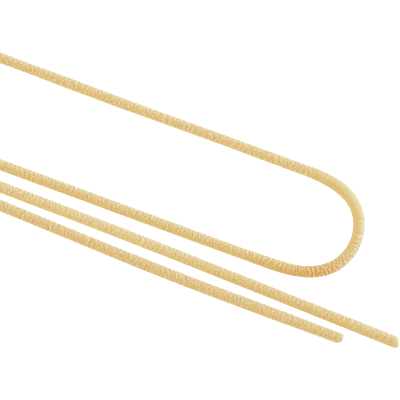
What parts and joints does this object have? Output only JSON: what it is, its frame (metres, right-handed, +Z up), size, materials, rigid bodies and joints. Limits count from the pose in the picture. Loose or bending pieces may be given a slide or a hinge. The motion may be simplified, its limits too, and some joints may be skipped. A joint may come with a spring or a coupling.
{
  "type": "dry spaghetti strands",
  "caption": "Rough-surfaced dry spaghetti lying flat: a long strand dried bent over a rod, with straight strands beside it.",
  "frame": {"origin": "middle of the whole layout's box, on the surface that the strands lie on", "axes": "+X along the strands towards the bend, +Y from the straight strands towards the bent one, +Z up"},
  "size_m": [0.2728, 0.0308, 0.0024],
  "materials": {
    "bent_pasta": "dry durum pasta, rough floury skin with fine cross wrinkles, amber in the hollows and on the lower side of the bend",
    "middle_pasta": "dry durum pasta, rough floury skin with fine cross wrinkles",
    "outer_pasta": "dry durum pasta, rough floury skin with fine cross wrinkles"
  },
  "bodies": {
    "root": {"bent_strand": "bent_pasta", "middle_strand": "middle_pasta", "outer_strand": "outer_pasta"}
  },
  "joints": []
}
